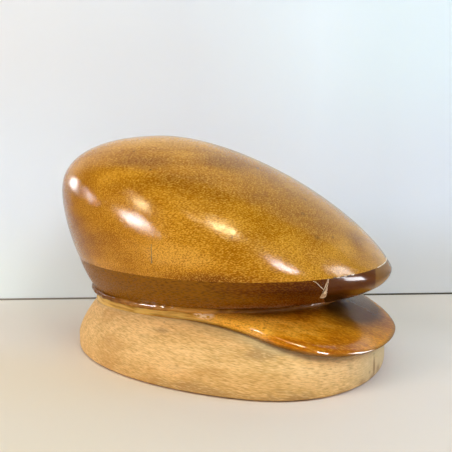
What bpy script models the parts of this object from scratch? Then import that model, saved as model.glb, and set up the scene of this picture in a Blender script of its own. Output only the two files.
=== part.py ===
"""Hat block for a peaked flat cap, in turned and carved wood.

Metres, +Z up. Z = 0 is the bench that the block stands on, and the Z axis runs up
through the middle of the head oval. +X points out of the peak, and the block is the
same on both sides of the plane Y = 0.

From the bench up: a raw base block, the peak board with the collar carved on it, the
dark band in two pieces, and the big crown. Dowels lock the glued boards together.
"""

import math

import bmesh
import bpy
from mathutils import Matrix

# Head oval: the opening of a cap of about size 57, at the lower edge of the band
HEAD_LENGTH = 0.200
HEAD_WIDTH = 0.163

# Collar: the low upright wall below the band, set in a little so that a cord holds there
COLLAR_SET_IN = 0.0018
COLLAR_HEIGHT = 0.0075

# Joint between base and peak board: a sawn curve, level at the back, down to the peak
BASE_HEIGHT = 0.0405
BACK_DIP = 0.0045
BACK_DIP_START = 0.040
SAW_SLOPE_START = 2.2
SAW_SLOPE_END = 2.9

# Peak: how far it stands out past the head oval, in front and to each side
PEAK_REACH = 0.0377
PEAK_SIDE_REACH = 0.0142
PEAK_TIP_HEIGHT = 0.0244
PEAK_WIDEST_X = 0.075
PEAK_FULLNESS = 0.95
PEAK_ROOT_X = -0.0139
PEAK_EDGE_WALL = 0.0025

# Slope of the peak, as a Bezier curve from its edge wall (1, 0) up to the collar wall: each
# point is a share of the way out and a share of the height up to the collar's top
PEAK_EDGE_CURVE = (1.0, 0.15)
PEAK_COLLAR_CURVE = (0.0, 0.5)
PEAK_SLOPE_TOP = 0.9

# Base block: two half ovals that meet at its widest line, past the head oval at the back and
# sides, and set back below the tip of the peak
BASE_BACK_MARGIN = 0.0137
BASE_SIDE_MARGIN = 0.0243
BASE_BELOW_TIP = 0.0068
BASE_WIDEST_X = 0.0409
BASE_BACK_FULLNESS = 1.02
BASE_FRONT_FULLNESS = 0.874
BASE_WALL_HEIGHT = 0.0099
BASE_SHOULDER_BACK = 1.38
BASE_SHOULDER_FRONT = 3.2
BASE_FOOT_TUCK = 0.0012
BASE_FOOT_HEIGHT = 0.003

# Band: one dark board, with a separate nose piece joined on at the front
BAND_HEIGHT = 0.02415
NOSE_LENGTH = 0.0437

# Crown: overhangs past the head oval, and the level above the groove where each is widest
CROWN_TOP_ABOVE_BAND = 0.0926
CROWN_BACK_OVERHANG = 0.02315
CROWN_FRONT_OVERHANG = 0.03467
CROWN_SIDE_OVERHANG = 0.02468
CROWN_BACK_LEVEL = 0.0772
CROWN_FRONT_LEVEL = 0.0171
CROWN_SIDE_LEVEL = 0.0306
CROWN_TOP_X = -0.0398

# How much the front quarters of the crown swell past an even oval, at the seam and at the top
CROWN_WIDE_FRONT = 0.0131
CROWN_WIDE_FRONT_AT_TOP = 0.0054

# Curves of the crown: the power of the height, and of the reach, in each outline
BACK_CURVE = (2.21, 2.48)
FRONT_CURVE = (1.29, 1.58)
SIDE_CURVE = (2.00, 2.05)
BACK_UNDERCUT = 1.68
SIDE_UNDERCUT = 2.05

# Dowels, each with a chamfer at both ends
DOWEL_CHAMFER = 0.0012
MAIN_DOWEL_RADIUS = 0.008
MAIN_DOWEL_FROM_BACK = 0.045
MAIN_DOWEL_FROM_FRONT = 0.055
MAIN_DOWEL_IN_BASE = 0.028
MAIN_DOWEL_IN_CROWN = 0.034
SMALL_DOWEL_RADIUS = 0.004
NOSE_DOWEL_FROM_JOINT = 0.010
NOSE_DOWEL_SPACING = 0.060
NOSE_DOWEL_IN_NOSE = 0.014
NOSE_DOWEL_IN_CROWN = 0.014
PEAK_DOWEL_SET_BACK = 0.032
PEAK_DOWEL_SET_IN = 0.0295
PEAK_DOWEL_IN_BASE = 0.018
PEAK_DOWEL_IN_BOARD = 0.007

# Room left at every glue line and round every dowel
GLUE_GAP = 0.0003

# How finely the round forms are cut into faces
AROUND = 72
CROWN_LEVELS = 18
BAND_LEVELS = 9
BASE_LEVELS = 12
PEAK_SLOPE_STEPS = 10
PEAK_FRONT_POINTS = 24
PEAK_HORN_POINTS = 8
COLLAR_BACK_POINTS = 15
SAW_STEPS = 26
DOWEL_SIDES = 24
SHARP_ANGLE = math.radians(38)

# Heights and half sizes that follow from the sizes above
HEAD_X = HEAD_LENGTH / 2
HEAD_Y = HEAD_WIDTH / 2
COLLAR_X = HEAD_X - COLLAR_SET_IN
COLLAR_Y = HEAD_Y - COLLAR_SET_IN
GROOVE_Z = BASE_HEIGHT + COLLAR_HEIGHT
SEAM_Z = GROOVE_Z + BAND_HEIGHT
TOP_Z = SEAM_Z + CROWN_TOP_ABOVE_BAND
PEAK_TIP_X = HEAD_X + PEAK_REACH
PEAK_Y = HEAD_Y + PEAK_SIDE_REACH
BASE_BACK_X = -HEAD_X - BASE_BACK_MARGIN
BASE_FRONT_X = PEAK_TIP_X - BASE_BELOW_TIP
BASE_Y = HEAD_Y + BASE_SIDE_MARGIN
CROWN_BACK_X = -HEAD_X - CROWN_BACK_OVERHANG
CROWN_FRONT_X = HEAD_X + CROWN_FRONT_OVERHANG
CROWN_Y = HEAD_Y + CROWN_SIDE_OVERHANG
NOSE_JOINT_X = CROWN_FRONT_X - NOSE_LENGTH
HALF_GAP = GLUE_GAP / 2
BEYOND = 0.3  # past every part of the block, for the cutters


def clear_scene():
    for old in list(bpy.data.objects):
        bpy.data.objects.remove(old, do_unlink=True)


def material(name, colour, roughness):
    """A plain Principled finish with one colour and one roughness."""
    made = bpy.data.materials.new(name)
    made.use_nodes = True
    made.diffuse_color = (*colour, 1.0)
    shader = made.node_tree.nodes["Principled BSDF"]
    shader.inputs["Base Color"].default_value = (*colour, 1.0)
    shader.inputs["Roughness"].default_value = roughness
    shader.inputs["Metallic"].default_value = 0.0
    return made


def signed_power(value, power):
    return math.copysign(abs(value) ** power, value)


def object_from(name, bm, finish):
    bmesh.ops.recalc_face_normals(bm, faces=bm.faces)
    mesh = bpy.data.meshes.new(name)
    bm.to_mesh(mesh)
    bm.free()
    made = bpy.data.objects.new(name, mesh)
    bpy.context.scene.collection.objects.link(made)
    if finish is not None:
        mesh.materials.append(finish)
    mesh.shade_smooth()
    mesh.set_sharp_from_angle(angle=SHARP_ANGLE)
    return made


def loft(name, rings, finish, top_point=None):
    """A closed body through rings of points, lowest first, with flat ends or a top point."""
    bm = bmesh.new()
    loops = [[bm.verts.new(point) for point in ring] for ring in rings]
    for lower, upper in zip(loops, loops[1:]):
        for i, corner in enumerate(lower):
            j = (i + 1) % len(lower)
            bm.faces.new((corner, lower[j], upper[j], upper[i]))
    bm.faces.new(reversed(loops[0]))
    if top_point is None:
        bm.faces.new(loops[-1])
    else:
        top = bm.verts.new(top_point)
        last = loops[-1]
        for i, corner in enumerate(last):
            bm.faces.new((corner, last[(i + 1) % len(last)], top))
    return object_from(name, bm, finish)


def helper(made):
    """Marks an object that only cuts others."""
    made.hide_render = True
    made.display_type = "WIRE"
    return made


def cut(target, cutter):
    modifier = target.modifiers.new("cut by " + cutter.name, "BOOLEAN")
    modifier.operation = "DIFFERENCE"
    modifier.solver = "EXACT"
    modifier.object = cutter


def box_cutter(name, low, high):
    bm = bmesh.new()
    bmesh.ops.create_cube(bm, size=1.0)
    size = [b - a for a, b in zip(low, high)]
    middle = [(a + b) / 2 for a, b in zip(low, high)]
    bmesh.ops.scale(bm, vec=size, verts=bm.verts)
    bmesh.ops.translate(bm, vec=middle, verts=bm.verts)
    return helper(object_from(name, bm, None))


def crown_outline(z):
    """Back end, front end, half width and swell of the crown and band at height z."""
    rise = z - GROOVE_Z
    full = TOP_Z - GROOVE_Z

    def above(level, curve):
        share = min(1.0, max(0.0, (rise - level) / (full - level)))
        return max(0.0, 1.0 - share ** curve[0]) ** (1.0 / curve[1])

    def below(level):
        return min(1.0, max(0.0, (level - rise) / level))

    if rise >= CROWN_BACK_LEVEL:
        back = CROWN_TOP_X + (CROWN_BACK_X - CROWN_TOP_X) * above(CROWN_BACK_LEVEL, BACK_CURVE)
    else:
        back = CROWN_BACK_X + CROWN_BACK_OVERHANG * below(CROWN_BACK_LEVEL) ** BACK_UNDERCUT
    if rise >= CROWN_FRONT_LEVEL:
        front = CROWN_TOP_X + (CROWN_FRONT_X - CROWN_TOP_X) * above(CROWN_FRONT_LEVEL, FRONT_CURVE)
    else:
        front = HEAD_X + CROWN_FRONT_OVERHANG * math.sqrt(1.0 - below(CROWN_FRONT_LEVEL) ** 2)
    if rise >= CROWN_SIDE_LEVEL:
        side = CROWN_Y * above(CROWN_SIDE_LEVEL, SIDE_CURVE)
    else:
        side = HEAD_Y + CROWN_SIDE_OVERHANG * (1.0 - below(CROWN_SIDE_LEVEL) ** SIDE_UNDERCUT)
    if z <= SEAM_Z:
        swell = CROWN_WIDE_FRONT * rise / BAND_HEIGHT
    else:
        share = (z - SEAM_Z) / CROWN_TOP_ABOVE_BAND
        swell = CROWN_WIDE_FRONT + (CROWN_WIDE_FRONT_AT_TOP - CROWN_WIDE_FRONT) * share
    return back, front, side, swell * side / CROWN_Y


def crown_ring(z):
    back, front, side, swell = crown_outline(z)
    middle = (back + front) / 2
    half = (front - back) / 2
    ring = []
    for i in range(AROUND):
        turn = 2 * math.pi * i / AROUND
        x = middle + half * math.cos(turn)
        y = (side + swell * math.cos(turn)) * math.sin(turn)
        ring.append((x, y, z))
    return ring


def heights(low, high, steps, marks):
    """Levels from low to high, closer together near the top, with the marked ones among them."""
    levels = [low + (high - low) * math.sin(math.pi / 2 * i / steps) for i in range(steps + 1)]
    close = (high - low) / steps / 3
    kept = [z for z in levels if all(abs(z - mark) > close for mark in marks)]
    kept += [mark for mark in marks if low + close < mark < high - close]
    return sorted(kept)


def make_crown(finish):
    marks = [GROOVE_Z + CROWN_SIDE_LEVEL, GROOVE_Z + CROWN_BACK_LEVEL]
    levels = heights(SEAM_Z + HALF_GAP, TOP_Z, CROWN_LEVELS, marks)
    rings = [crown_ring(z) for z in levels[:-1]]
    return loft("crown", rings, finish, top_point=(CROWN_TOP_X, 0.0, TOP_Z))


def band_body(name, finish):
    """The whole band, with its levels closer together near the groove, where it curves most."""
    low = GROOVE_Z + HALF_GAP
    high = SEAM_Z - HALF_GAP
    levels = [low + (high - low) * (i / BAND_LEVELS) ** 2 for i in range(BAND_LEVELS + 1)]
    return loft(name, [crown_ring(z) for z in levels], finish)


def make_band(board_finish, nose_finish):
    board = band_body("crown_band", board_finish)
    nose = band_body("band_nose", nose_finish)
    board_end = NOSE_JOINT_X - HALF_GAP
    nose_start = NOSE_JOINT_X + HALF_GAP
    cut(board, box_cutter("nose_room", (board_end, -BEYOND, 0), (BEYOND, BEYOND, BEYOND)))
    cut(nose, box_cutter("board_room", (-BEYOND, -BEYOND, 0), (nose_start, BEYOND, BEYOND)))
    return board, nose


def saw_line(x):
    """Height of the sawn joint between the base block and the peak board."""
    dip_from = -BACK_DIP_START
    if x < dip_from:
        share = min(1.0, (dip_from - x) / (COLLAR_X - BACK_DIP_START))
        return BASE_HEIGHT - BACK_DIP * share ** 2
    if x <= PEAK_ROOT_X:
        return BASE_HEIGHT
    share = min(1.0, max(0.0, (PEAK_TIP_X - x) / (PEAK_TIP_X - PEAK_ROOT_X)))
    climb = 1.0 - (1.0 - share ** SAW_SLOPE_START) ** SAW_SLOPE_END
    return PEAK_TIP_HEIGHT + (BASE_HEIGHT - PEAK_TIP_HEIGHT) * climb


def saw_cutter(name, shift, far_z):
    """Everything between the sawn line and far_z, as wide as the cutters reach."""
    start = -COLLAR_X - 2 * COLLAR_SET_IN
    xs = [start + (PEAK_TIP_X - start) * i / SAW_STEPS for i in range(SAW_STEPS + 1)]
    line = [(-BEYOND, saw_line(start))] + [(x, saw_line(x)) for x in xs]
    line.append((BEYOND, saw_line(PEAK_TIP_X)))
    profile = [(x, z + shift) for x, z in line] + [(BEYOND, far_z), (-BEYOND, far_z)]
    bm = bmesh.new()
    sides = []
    for y in (-BEYOND, BEYOND):
        corners = [bm.verts.new((x, y, z)) for x, z in profile]
        bm.faces.new(corners)
        sides.append(corners)
    near, far = sides
    for i, corner in enumerate(near):
        j = (i + 1) % len(near)
        bm.faces.new((corner, near[j], far[j], far[i]))
    return helper(object_from(name, bm, None))


def oval_radius(half_x, half_y, angle):
    return 1.0 / math.hypot(math.cos(angle) / half_x, math.sin(angle) / half_y)


def collar_point(angle):
    radius = oval_radius(COLLAR_X, COLLAR_Y, angle)
    return radius * math.cos(angle), radius * math.sin(angle)


def peak_half_outline():
    """Edge of the peak on the +Y side, from its tip back to where it leaves the collar."""
    points = []
    for i in range(PEAK_FRONT_POINTS):
        turn = math.pi / 2 * i / PEAK_FRONT_POINTS
        x = PEAK_WIDEST_X + (PEAK_TIP_X - PEAK_WIDEST_X) * math.cos(turn) ** PEAK_FULLNESS
        points.append((x, PEAK_Y * math.sin(turn) ** PEAK_FULLNESS))
    for i in range(PEAK_HORN_POINTS):
        share = 1.0 - i / PEAK_HORN_POINTS
        x = PEAK_ROOT_X + (PEAK_WIDEST_X - PEAK_ROOT_X) * share
        ease = share * share * (3 - 2 * share)
        wall = COLLAR_Y * math.sqrt(1.0 - (x / COLLAR_X) ** 2)
        points.append((x, wall + (PEAK_Y - wall) * ease))
    return points


def peak_stations():
    """Matching points on the collar and on the outer edge, all the way round."""
    half = []
    for x, y in peak_half_outline():
        half.append((collar_point(math.atan2(y, x)), (x, y)))
    root = math.atan2(COLLAR_Y * math.sqrt(1.0 - (PEAK_ROOT_X / COLLAR_X) ** 2), PEAK_ROOT_X)
    for i in range(COLLAR_BACK_POINTS + 1):
        wall = collar_point(root + (math.pi - root) * i / COLLAR_BACK_POINTS)
        half.append((wall, wall))
    mirrored = [((a[0], -a[1]), (b[0], -b[1])) for a, b in reversed(half[1:-1])]
    return half + mirrored


def peak_section():
    """Share of the way out and share of the height, from the peak's edge to the collar's top."""
    points = []
    for i in range(PEAK_SLOPE_STEPS + 1):
        t = i / PEAK_SLOPE_STEPS
        first = 3 * (1 - t) ** 2 * t
        second = 3 * (1 - t) * t ** 2
        out = (1 - t) ** 3 + first * PEAK_EDGE_CURVE[0] + second * PEAK_COLLAR_CURVE[0]
        up = first * PEAK_EDGE_CURVE[1] + second * PEAK_COLLAR_CURVE[1] + t ** 3 * PEAK_SLOPE_TOP
        points.append((out, up))
    return points + [(0.0, 1.0)]


def make_peak_board(finish):
    """The collar and the peak, carved from one board and sawn off along the joint."""
    collar_top = GROOVE_Z - HALF_GAP
    stations = peak_stations()
    rings = [[(*outer, 0.0) for _, outer in stations]]
    for out, up in peak_section():
        ring = []
        for inner, outer in stations:
            x = inner[0] + (outer[0] - inner[0]) * out
            y = inner[1] + (outer[1] - inner[1]) * out
            wall_top = saw_line(outer[0]) + PEAK_EDGE_WALL
            ring.append((x, y, wall_top + (collar_top - wall_top) * up))
        rings.append(ring)
    board = loft("peak_board", rings, finish)
    cut(board, saw_cutter("below_saw_line", HALF_GAP, -BEYOND))
    return board


def base_outline():
    points = []
    for i in range(AROUND):
        turn = 2 * math.pi * i / AROUND
        ahead = math.cos(turn) >= 0
        end = BASE_FRONT_X if ahead else BASE_BACK_X
        fullness = BASE_FRONT_FULLNESS if ahead else BASE_BACK_FULLNESS
        reach = abs(end - BASE_WIDEST_X)
        x = BASE_WIDEST_X + reach * signed_power(math.cos(turn), fullness)
        points.append((x, BASE_Y * signed_power(math.sin(turn), fullness)))
    return points


def make_base(finish):
    """The raw block, with upright walls that round in to the collar at the back and sides."""
    outline = base_outline()
    walls = [collar_point(math.atan2(y, x)) for x, y in outline]
    tops = [saw_line(min(x, PEAK_ROOT_X)) for x, _ in walls]

    def ring(share):
        """Points at a share of the height between the upright wall and the collar's foot."""
        points = []
        for (x, y), (inner_x, inner_y), top in zip(outline, walls, tops):
            ahead = (1 + math.cos(math.atan2(y, x))) / 2
            power = BASE_SHOULDER_BACK + (BASE_SHOULDER_FRONT - BASE_SHOULDER_BACK) * ahead
            out = 1.0 - share ** power
            z = BASE_WALL_HEIGHT + (top - BASE_WALL_HEIGHT) * share
            points.append((inner_x + (x - inner_x) * out, inner_y + (y - inner_y) * out, z))
        return points

    foot = []
    for x, y in outline:
        keep = 1.0 - BASE_FOOT_TUCK / math.hypot(x, y)
        foot.append((x * keep, y * keep, 0.0))
    rings = [foot, [(x, y, BASE_FOOT_HEIGHT) for x, y in outline]]
    rings += [ring(i / BASE_LEVELS) for i in range(BASE_LEVELS + 1)]
    base = loft("base_block", rings, finish)
    cut(base, saw_cutter("above_saw_line", -HALF_GAP, BEYOND))
    return base


def turned(name, radius, low, high, chamfer, finish):
    """An upright round bar from low to high, with its origin on its own axis."""
    profile = [(radius - chamfer, low), (radius, low + chamfer)]
    profile += [(radius, high - chamfer), (radius - chamfer, high)]
    rings = []
    for r, z in profile:
        turns = [2 * math.pi * i / DOWEL_SIDES for i in range(DOWEL_SIDES)]
        rings.append([(r * math.cos(turn), r * math.sin(turn), z) for turn in turns])
    return loft(name, rings, finish)


def add_dowel(name, radius, x, y, low, high, boards, finish):
    """A dowel, and its hole in each board that it goes through."""
    dowel = turned(name, radius, low, high, DOWEL_CHAMFER, finish)
    hole_radius = radius + GLUE_GAP
    hole = turned(name + "_hole", hole_radius, low - GLUE_GAP, high + GLUE_GAP, DOWEL_CHAMFER, None)
    helper(hole)
    for made in (dowel, hole):
        made.matrix_world = Matrix.Translation((x, y, 0.0))
    for board in boards:
        cut(board, hole)
    return dowel


def main():
    clear_scene()
    honey = material("honey_varnish", (0.49, 0.20, 0.02), 0.22)
    dark = material("dark_varnish", (0.15, 0.05, 0.006), 0.25)
    nose_red = material("dark_red_varnish", (0.10, 0.03, 0.004), 0.22)
    amber = material("amber_varnish", (0.50, 0.20, 0.02), 0.2)
    raw = material("raw_wood", (0.78, 0.45, 0.15), 0.7)
    beech = material("dowel_wood", (0.62, 0.38, 0.18), 0.6)

    crown = make_crown(honey)
    band, nose = make_band(dark, nose_red)
    board = make_peak_board(amber)
    base = make_base(raw)

    places = {"back": MAIN_DOWEL_FROM_BACK - HEAD_X, "front": HEAD_X - MAIN_DOWEL_FROM_FRONT}
    for place, x in places.items():
        low = BASE_HEIGHT - MAIN_DOWEL_IN_BASE
        high = SEAM_Z + MAIN_DOWEL_IN_CROWN
        boards = (base, board, band, crown)
        add_dowel("main_dowel_" + place, MAIN_DOWEL_RADIUS, x, 0.0, low, high, boards, beech)
    for side, mirror in (("left", 1), ("right", -1)):
        x = NOSE_JOINT_X + NOSE_DOWEL_FROM_JOINT
        y = mirror * NOSE_DOWEL_SPACING / 2
        low = SEAM_Z - NOSE_DOWEL_IN_NOSE
        high = SEAM_Z + NOSE_DOWEL_IN_CROWN
        boards = (nose, crown)
        add_dowel("nose_dowel_" + side, SMALL_DOWEL_RADIUS, x, y, low, high, boards, beech)
        x = HEAD_X - PEAK_DOWEL_SET_BACK
        y = mirror * (HEAD_Y - PEAK_DOWEL_SET_IN)
        low = saw_line(x) - PEAK_DOWEL_IN_BASE
        high = saw_line(x) + PEAK_DOWEL_IN_BOARD
        boards = (base, board)
        add_dowel("peak_dowel_" + side, SMALL_DOWEL_RADIUS, x, y, low, high, boards, beech)


main()
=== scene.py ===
"""Looks of the hat block: the finish of every surface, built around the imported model.

Metres, in the model's own frame: +X out of the peak, +Z up, the bench at Z = 0. The
photograph looks at the side of -Y, called the near side below.
"""

import math

import bmesh
import bpy
from mathutils import Matrix, Vector, noise


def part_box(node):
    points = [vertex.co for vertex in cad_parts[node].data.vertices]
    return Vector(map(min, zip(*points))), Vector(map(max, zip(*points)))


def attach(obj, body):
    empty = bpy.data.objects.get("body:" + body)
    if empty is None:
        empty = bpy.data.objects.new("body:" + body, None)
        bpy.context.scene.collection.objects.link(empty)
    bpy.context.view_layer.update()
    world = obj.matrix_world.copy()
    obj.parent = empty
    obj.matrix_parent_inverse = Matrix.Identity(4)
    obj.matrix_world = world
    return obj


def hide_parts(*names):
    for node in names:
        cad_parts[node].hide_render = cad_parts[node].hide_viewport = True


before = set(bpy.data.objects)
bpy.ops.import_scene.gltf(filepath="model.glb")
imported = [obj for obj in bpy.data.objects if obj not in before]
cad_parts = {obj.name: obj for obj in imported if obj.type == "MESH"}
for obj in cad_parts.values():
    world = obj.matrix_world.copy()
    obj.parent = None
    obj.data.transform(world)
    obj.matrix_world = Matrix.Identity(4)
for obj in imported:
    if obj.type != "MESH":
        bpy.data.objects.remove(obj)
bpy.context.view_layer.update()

# Levels and ends of the block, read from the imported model
CROWN_LOW, CROWN_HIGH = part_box("crown")
BAND_LOW, BAND_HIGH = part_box("crown_band")
NOSE_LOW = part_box("band_nose")[0]
BOARD_LOW, BOARD_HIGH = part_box("peak_board")
BASE_LOW, BASE_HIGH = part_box("base_block")
HALF_GAP = (CROWN_LOW.z - BAND_HIGH.z) / 2
SEAM_Z = CROWN_LOW.z - HALF_GAP
GROOVE_Z = BAND_LOW.z - HALF_GAP
TOP_Z = CROWN_HIGH.z

# The joint under the peak board is drawn a little lower than the model has it, as the photo shows it
JOINT_DROP = 0.0008
BASE_HEIGHT = BASE_HIGH.z + HALF_GAP - JOINT_DROP
CROWN_BACK_X = CROWN_LOW.x
PEAK_TIP_X = BOARD_HIGH.x
PEAK_Y = BOARD_HIGH.y
BASE_BACK_X = BASE_LOW.x
BASE_FRONT_X = BASE_HIGH.x
BASE_Y = BASE_HIGH.y
NOSE_JOINT_X = NOSE_LOW.x - HALF_GAP
PEAK_TIP_HEIGHT = BOARD_LOW.z - HALF_GAP - JOINT_DROP

# Head oval, and the collar set in below it
HEAD_X = 0.100
HEAD_Y = 0.0815
COLLAR_SET_IN = 0.0018
COLLAR_X = HEAD_X - COLLAR_SET_IN
COLLAR_Y = HEAD_Y - COLLAR_SET_IN

# Swell of the crown and band past the head oval, and the levels where each swell is widest
BACK_OVERHANG = -HEAD_X - CROWN_BACK_X
FRONT_OVERHANG = 0.03467
SIDE_OVERHANG = 0.02468
BACK_LEVEL = 0.0772
FRONT_LEVEL = 0.0171
SIDE_LEVEL = 0.0306
CROWN_TOP_X = -0.0398
WIDE_FRONT = 0.0131
WIDE_FRONT_AT_TOP = 0.0054
BACK_CURVE = (2.21, 2.48)
FRONT_CURVE = (1.29, 1.58)
SIDE_CURVE = (2.00, 2.05)
BACK_UNDERCUT = 1.68
SIDE_UNDERCUT = 2.05

# Sawn joint between the base and the peak board, and the peak's slope and rim
BACK_DIP = 0.0045
BACK_DIP_START = 0.040
SAW_SLOPE_START = 2.2
SAW_SLOPE_END = 2.9
PEAK_WIDEST_X = 0.075
PEAK_FULLNESS = 0.95
PEAK_ROOT_X = -0.0139

# The peak was carved by eye: its tip lies towards the near side and its far side is slimmer
PEAK_TIP_Y = -0.012
NEAR_FULLNESS = 1.04
FAR_FULLNESS = 1.24

# Section of the peak from its edge up to the collar, at its sides and at its tip
EDGE_WALL = (0.0026, 0.0012)
EDGE_ROLL = (0.36, 0.08)
AHEAD_CURVE = 1.5
LIP = 0.66
ROLL_START_Y = 0.045
COLLAR_CURVE = 0.5
SLOPE_TOP = 0.9

# Near edge of the peak, from its horn to its tip: x, height of the edge and share of the roll
NEAR_EDGE = ((0.020, 0.0026, 0.60), (0.050, 0.0026, 0.60), (0.074, 0.0012, 0.42), (0.092, 0.0008, 0.30),
             (0.115, 0.0008, 0.16), (0.1377, 0.0009, 0.08))

# Round under the peak's edge: radius, the most it takes of the edge and of the slope, and its steps
EDGE_ROUND = 0.0010
EDGE_ROUND_SHARE = 0.6
SLOPE_ROUND_SHARE = 0.33
ROUND_TURNS = (0, 22, 45, 67, 90)

# Waves the knife left along the near edge: middle, reach and depth
EDGE_WAVES = ((0.0535, 0.010, 0.0010), (0.0840, 0.009, 0.0006))

# Base block
BASE_WIDEST_X = 0.0409
BASE_BACK_FULLNESS = 1.02
BASE_FRONT_FULLNESS = 0.874
BASE_WALL_HEIGHT = 0.0099
BASE_SHOULDER_BACK = 1.38
BASE_SHOULDER_FRONT = 3.2

# Wall of the base, up from its rounded bottom edge: height and how far it is set in there
BASE_WALL = ((0.0, 0.0034), (0.0005, 0.0018), (0.0008, 0.0006), (0.0013, 0.0002), (0.0022, 0.0),
             (0.0045, 0.0), (0.0072, 0.0))

# How finely the pieces are made
AROUND = 288
FRONT_STEPS = AROUND // 3
HORN_STEPS = AROUND // 7
BACK_STEPS = AROUND // 2
CROWN_LEVELS = 110
BAND_LEVELS = 40
BASE_LEVELS = 44
SLOPE_STEPS = 44
HALVINGS = 30

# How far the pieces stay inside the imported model's box, and short of the joints between them
SKIN = 0.0001
JOINT_CLEAR = HALF_GAP / 3

# Finer unevenness on top of the broad one: its share of the depth, and how much closer it comes
FINE_SHARE = 1 / 6
FINE_PITCH = 3.1

# Unevenness of each surface: depth, wavelength and the seed of its noise
CROWN_SMOOTHING = (0.00018, 0.024, 1.0)
PEAK_SMOOTHING = (0.00012, 0.020, 5.0)
BASE_SMOOTHING = (0.00020, 0.030, 9.0)

# Edges rounded over along the seam at the nose: where that starts and is reached, depth and height
EASE_START_X = 0.094
EASE_REACH = 0.008
CROWN_EASE = (0.0003, 0.005)
NOSE_EASE = (0.0007, 0.007)

# Bead of varnish in the groove, at the back and at the front, which it reaches at this share of the way
BEAD_STEPS = 480
BEAD_SIDES = 16
BEAD_HALF_OUT = (0.0019, 0.0023)
BEAD_HALF_UP = (0.0021, 0.0026)
BEAD_INSET = (0.0007, 0.0001)
BEAD_DROP = (0.0011, 0.0018)
BEAD_FRONT = 0.4

# Lumps of the bead: how many round it and how high; then how far they calm to the front and upwards
BEAD_LUMPS = ((7.0, 0.35), (21.0, 0.26), (55.0, 0.12))
BEAD_CALM = 0.35
BEAD_FLATTER = 0.7

# How the bead wanders up and down, and how its skin is wrinkled: how many round it and how much
BEAD_WANDER = (14.0, 0.0004)
BEAD_WRINKLES = (40.0, 0.06)

# Strips of filler, glue and dirt: steps between two points, points round a strip and ragged spots a metre
STRIP_STEPS = 8
STRIP_SIDES = 10
STRIP_SPOTS = 900.0

# Repairs where the nose meets the band: way ahead of the joint, drop below the seam and half width
FILLER_WEDGE = ((0.00313, 0.0, 0.0004), (0.00213, 0.00415, 0.0010), (0.00113, 0.00815, 0.0014),
                (0.00023, 0.01115, 0.0018), (-0.00057, 0.01365, 0.0021))
FILLER_SPLIT = ((0.00263, 0.00265, 0.0003), (0.00123, 0.00615, 0.0004), (-0.00037, 0.00965, 0.0003))
CRACKED_GLUE = ((-0.00547, 0.0006, 0.00016), (-0.00397, 0.00135, 0.00022), (-0.00267, 0.00285, 0.00016),
                (-0.00107, 0.00505, 0.00024), (0.00033, 0.00685, 0.00018))

# Glue that crept out of the seam at the tip, and flakes along the seam behind it: places along X
TIP_GLUE = (0.1236, 0.1314)
TIP_GLUE_STEPS = 5
FLAKES = 6
FLAKE_START = 0.0970
FLAKE_PITCH = 0.0021
FLAKE_LENGTH = 0.0013
CREEP_HALF = 0.0003

# Scratch on the crown: x, z and half width
CROWN_SCRATCH = ((-0.0115, 0.0932, 0.0002), (-0.0113, 0.0880, 0.0003), (-0.0116, 0.0812, 0.0005))

# Camera, as the photograph was taken: lens in millimetres on a 36 mm wide sensor
LENS = 41.37
SENSOR = 36.0
CAMERA_PLACE = (0.11348, -0.39520, 0.14064)
CAMERA_TURN = math.radians(14.88)
CAMERA_DOWN = math.radians(6.66)
CAMERA_ROLL = math.radians(-0.444)


def progress(value, start, end):
    """How far value has come from start to end: 0 before the start and 1 past the end."""
    return min(1.0, max(0.0, (value - start) / (end - start)))


def between(start, end, share):
    return start + (end - start) * share


def smooth(share):
    """The same share, with a slow start and a slow end."""
    return share * share * (3 - 2 * share)


class Value:
    """One output of a node. Sums of values add Math nodes."""

    def __init__(self, nodes, socket):
        self.nodes = nodes
        self.socket = socket

    def math(self, operation, *others):
        return self.nodes.add("Math", {"operation": operation}, (self, *others))

    def __add__(self, other):
        return self.math("ADD", other)

    def __mul__(self, other):
        return self.math("MULTIPLY", other)

    def __sub__(self, other):
        return self.math("SUBTRACT", other)

    def __rsub__(self, other):
        return self.nodes.add("Math", {"operation": "SUBTRACT"}, (other, self))

    __radd__ = __add__
    __rmul__ = __mul__

    def rise(self, low, high):
        """0 up to low, 1 from high on, and a smooth slope between; high may be the lower."""
        inputs = {"Value": self, "From Min": low, "From Max": high}
        return self.nodes.add("MapRange", {"interpolation_type": "SMOOTHSTEP"}, inputs)

    def near(self, middle, reach):
        """1 at middle, falling smoothly to 0 at reach to both sides of it."""
        return (self - middle).math("ABSOLUTE").rise(reach, 0.0)


# A Mix node has sockets for each kind of data. These are the ones that mix colours.
MIX_SHARE, MIX_UNDER, MIX_OVER, MIX_RESULT = 0, 6, 7, 2


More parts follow.
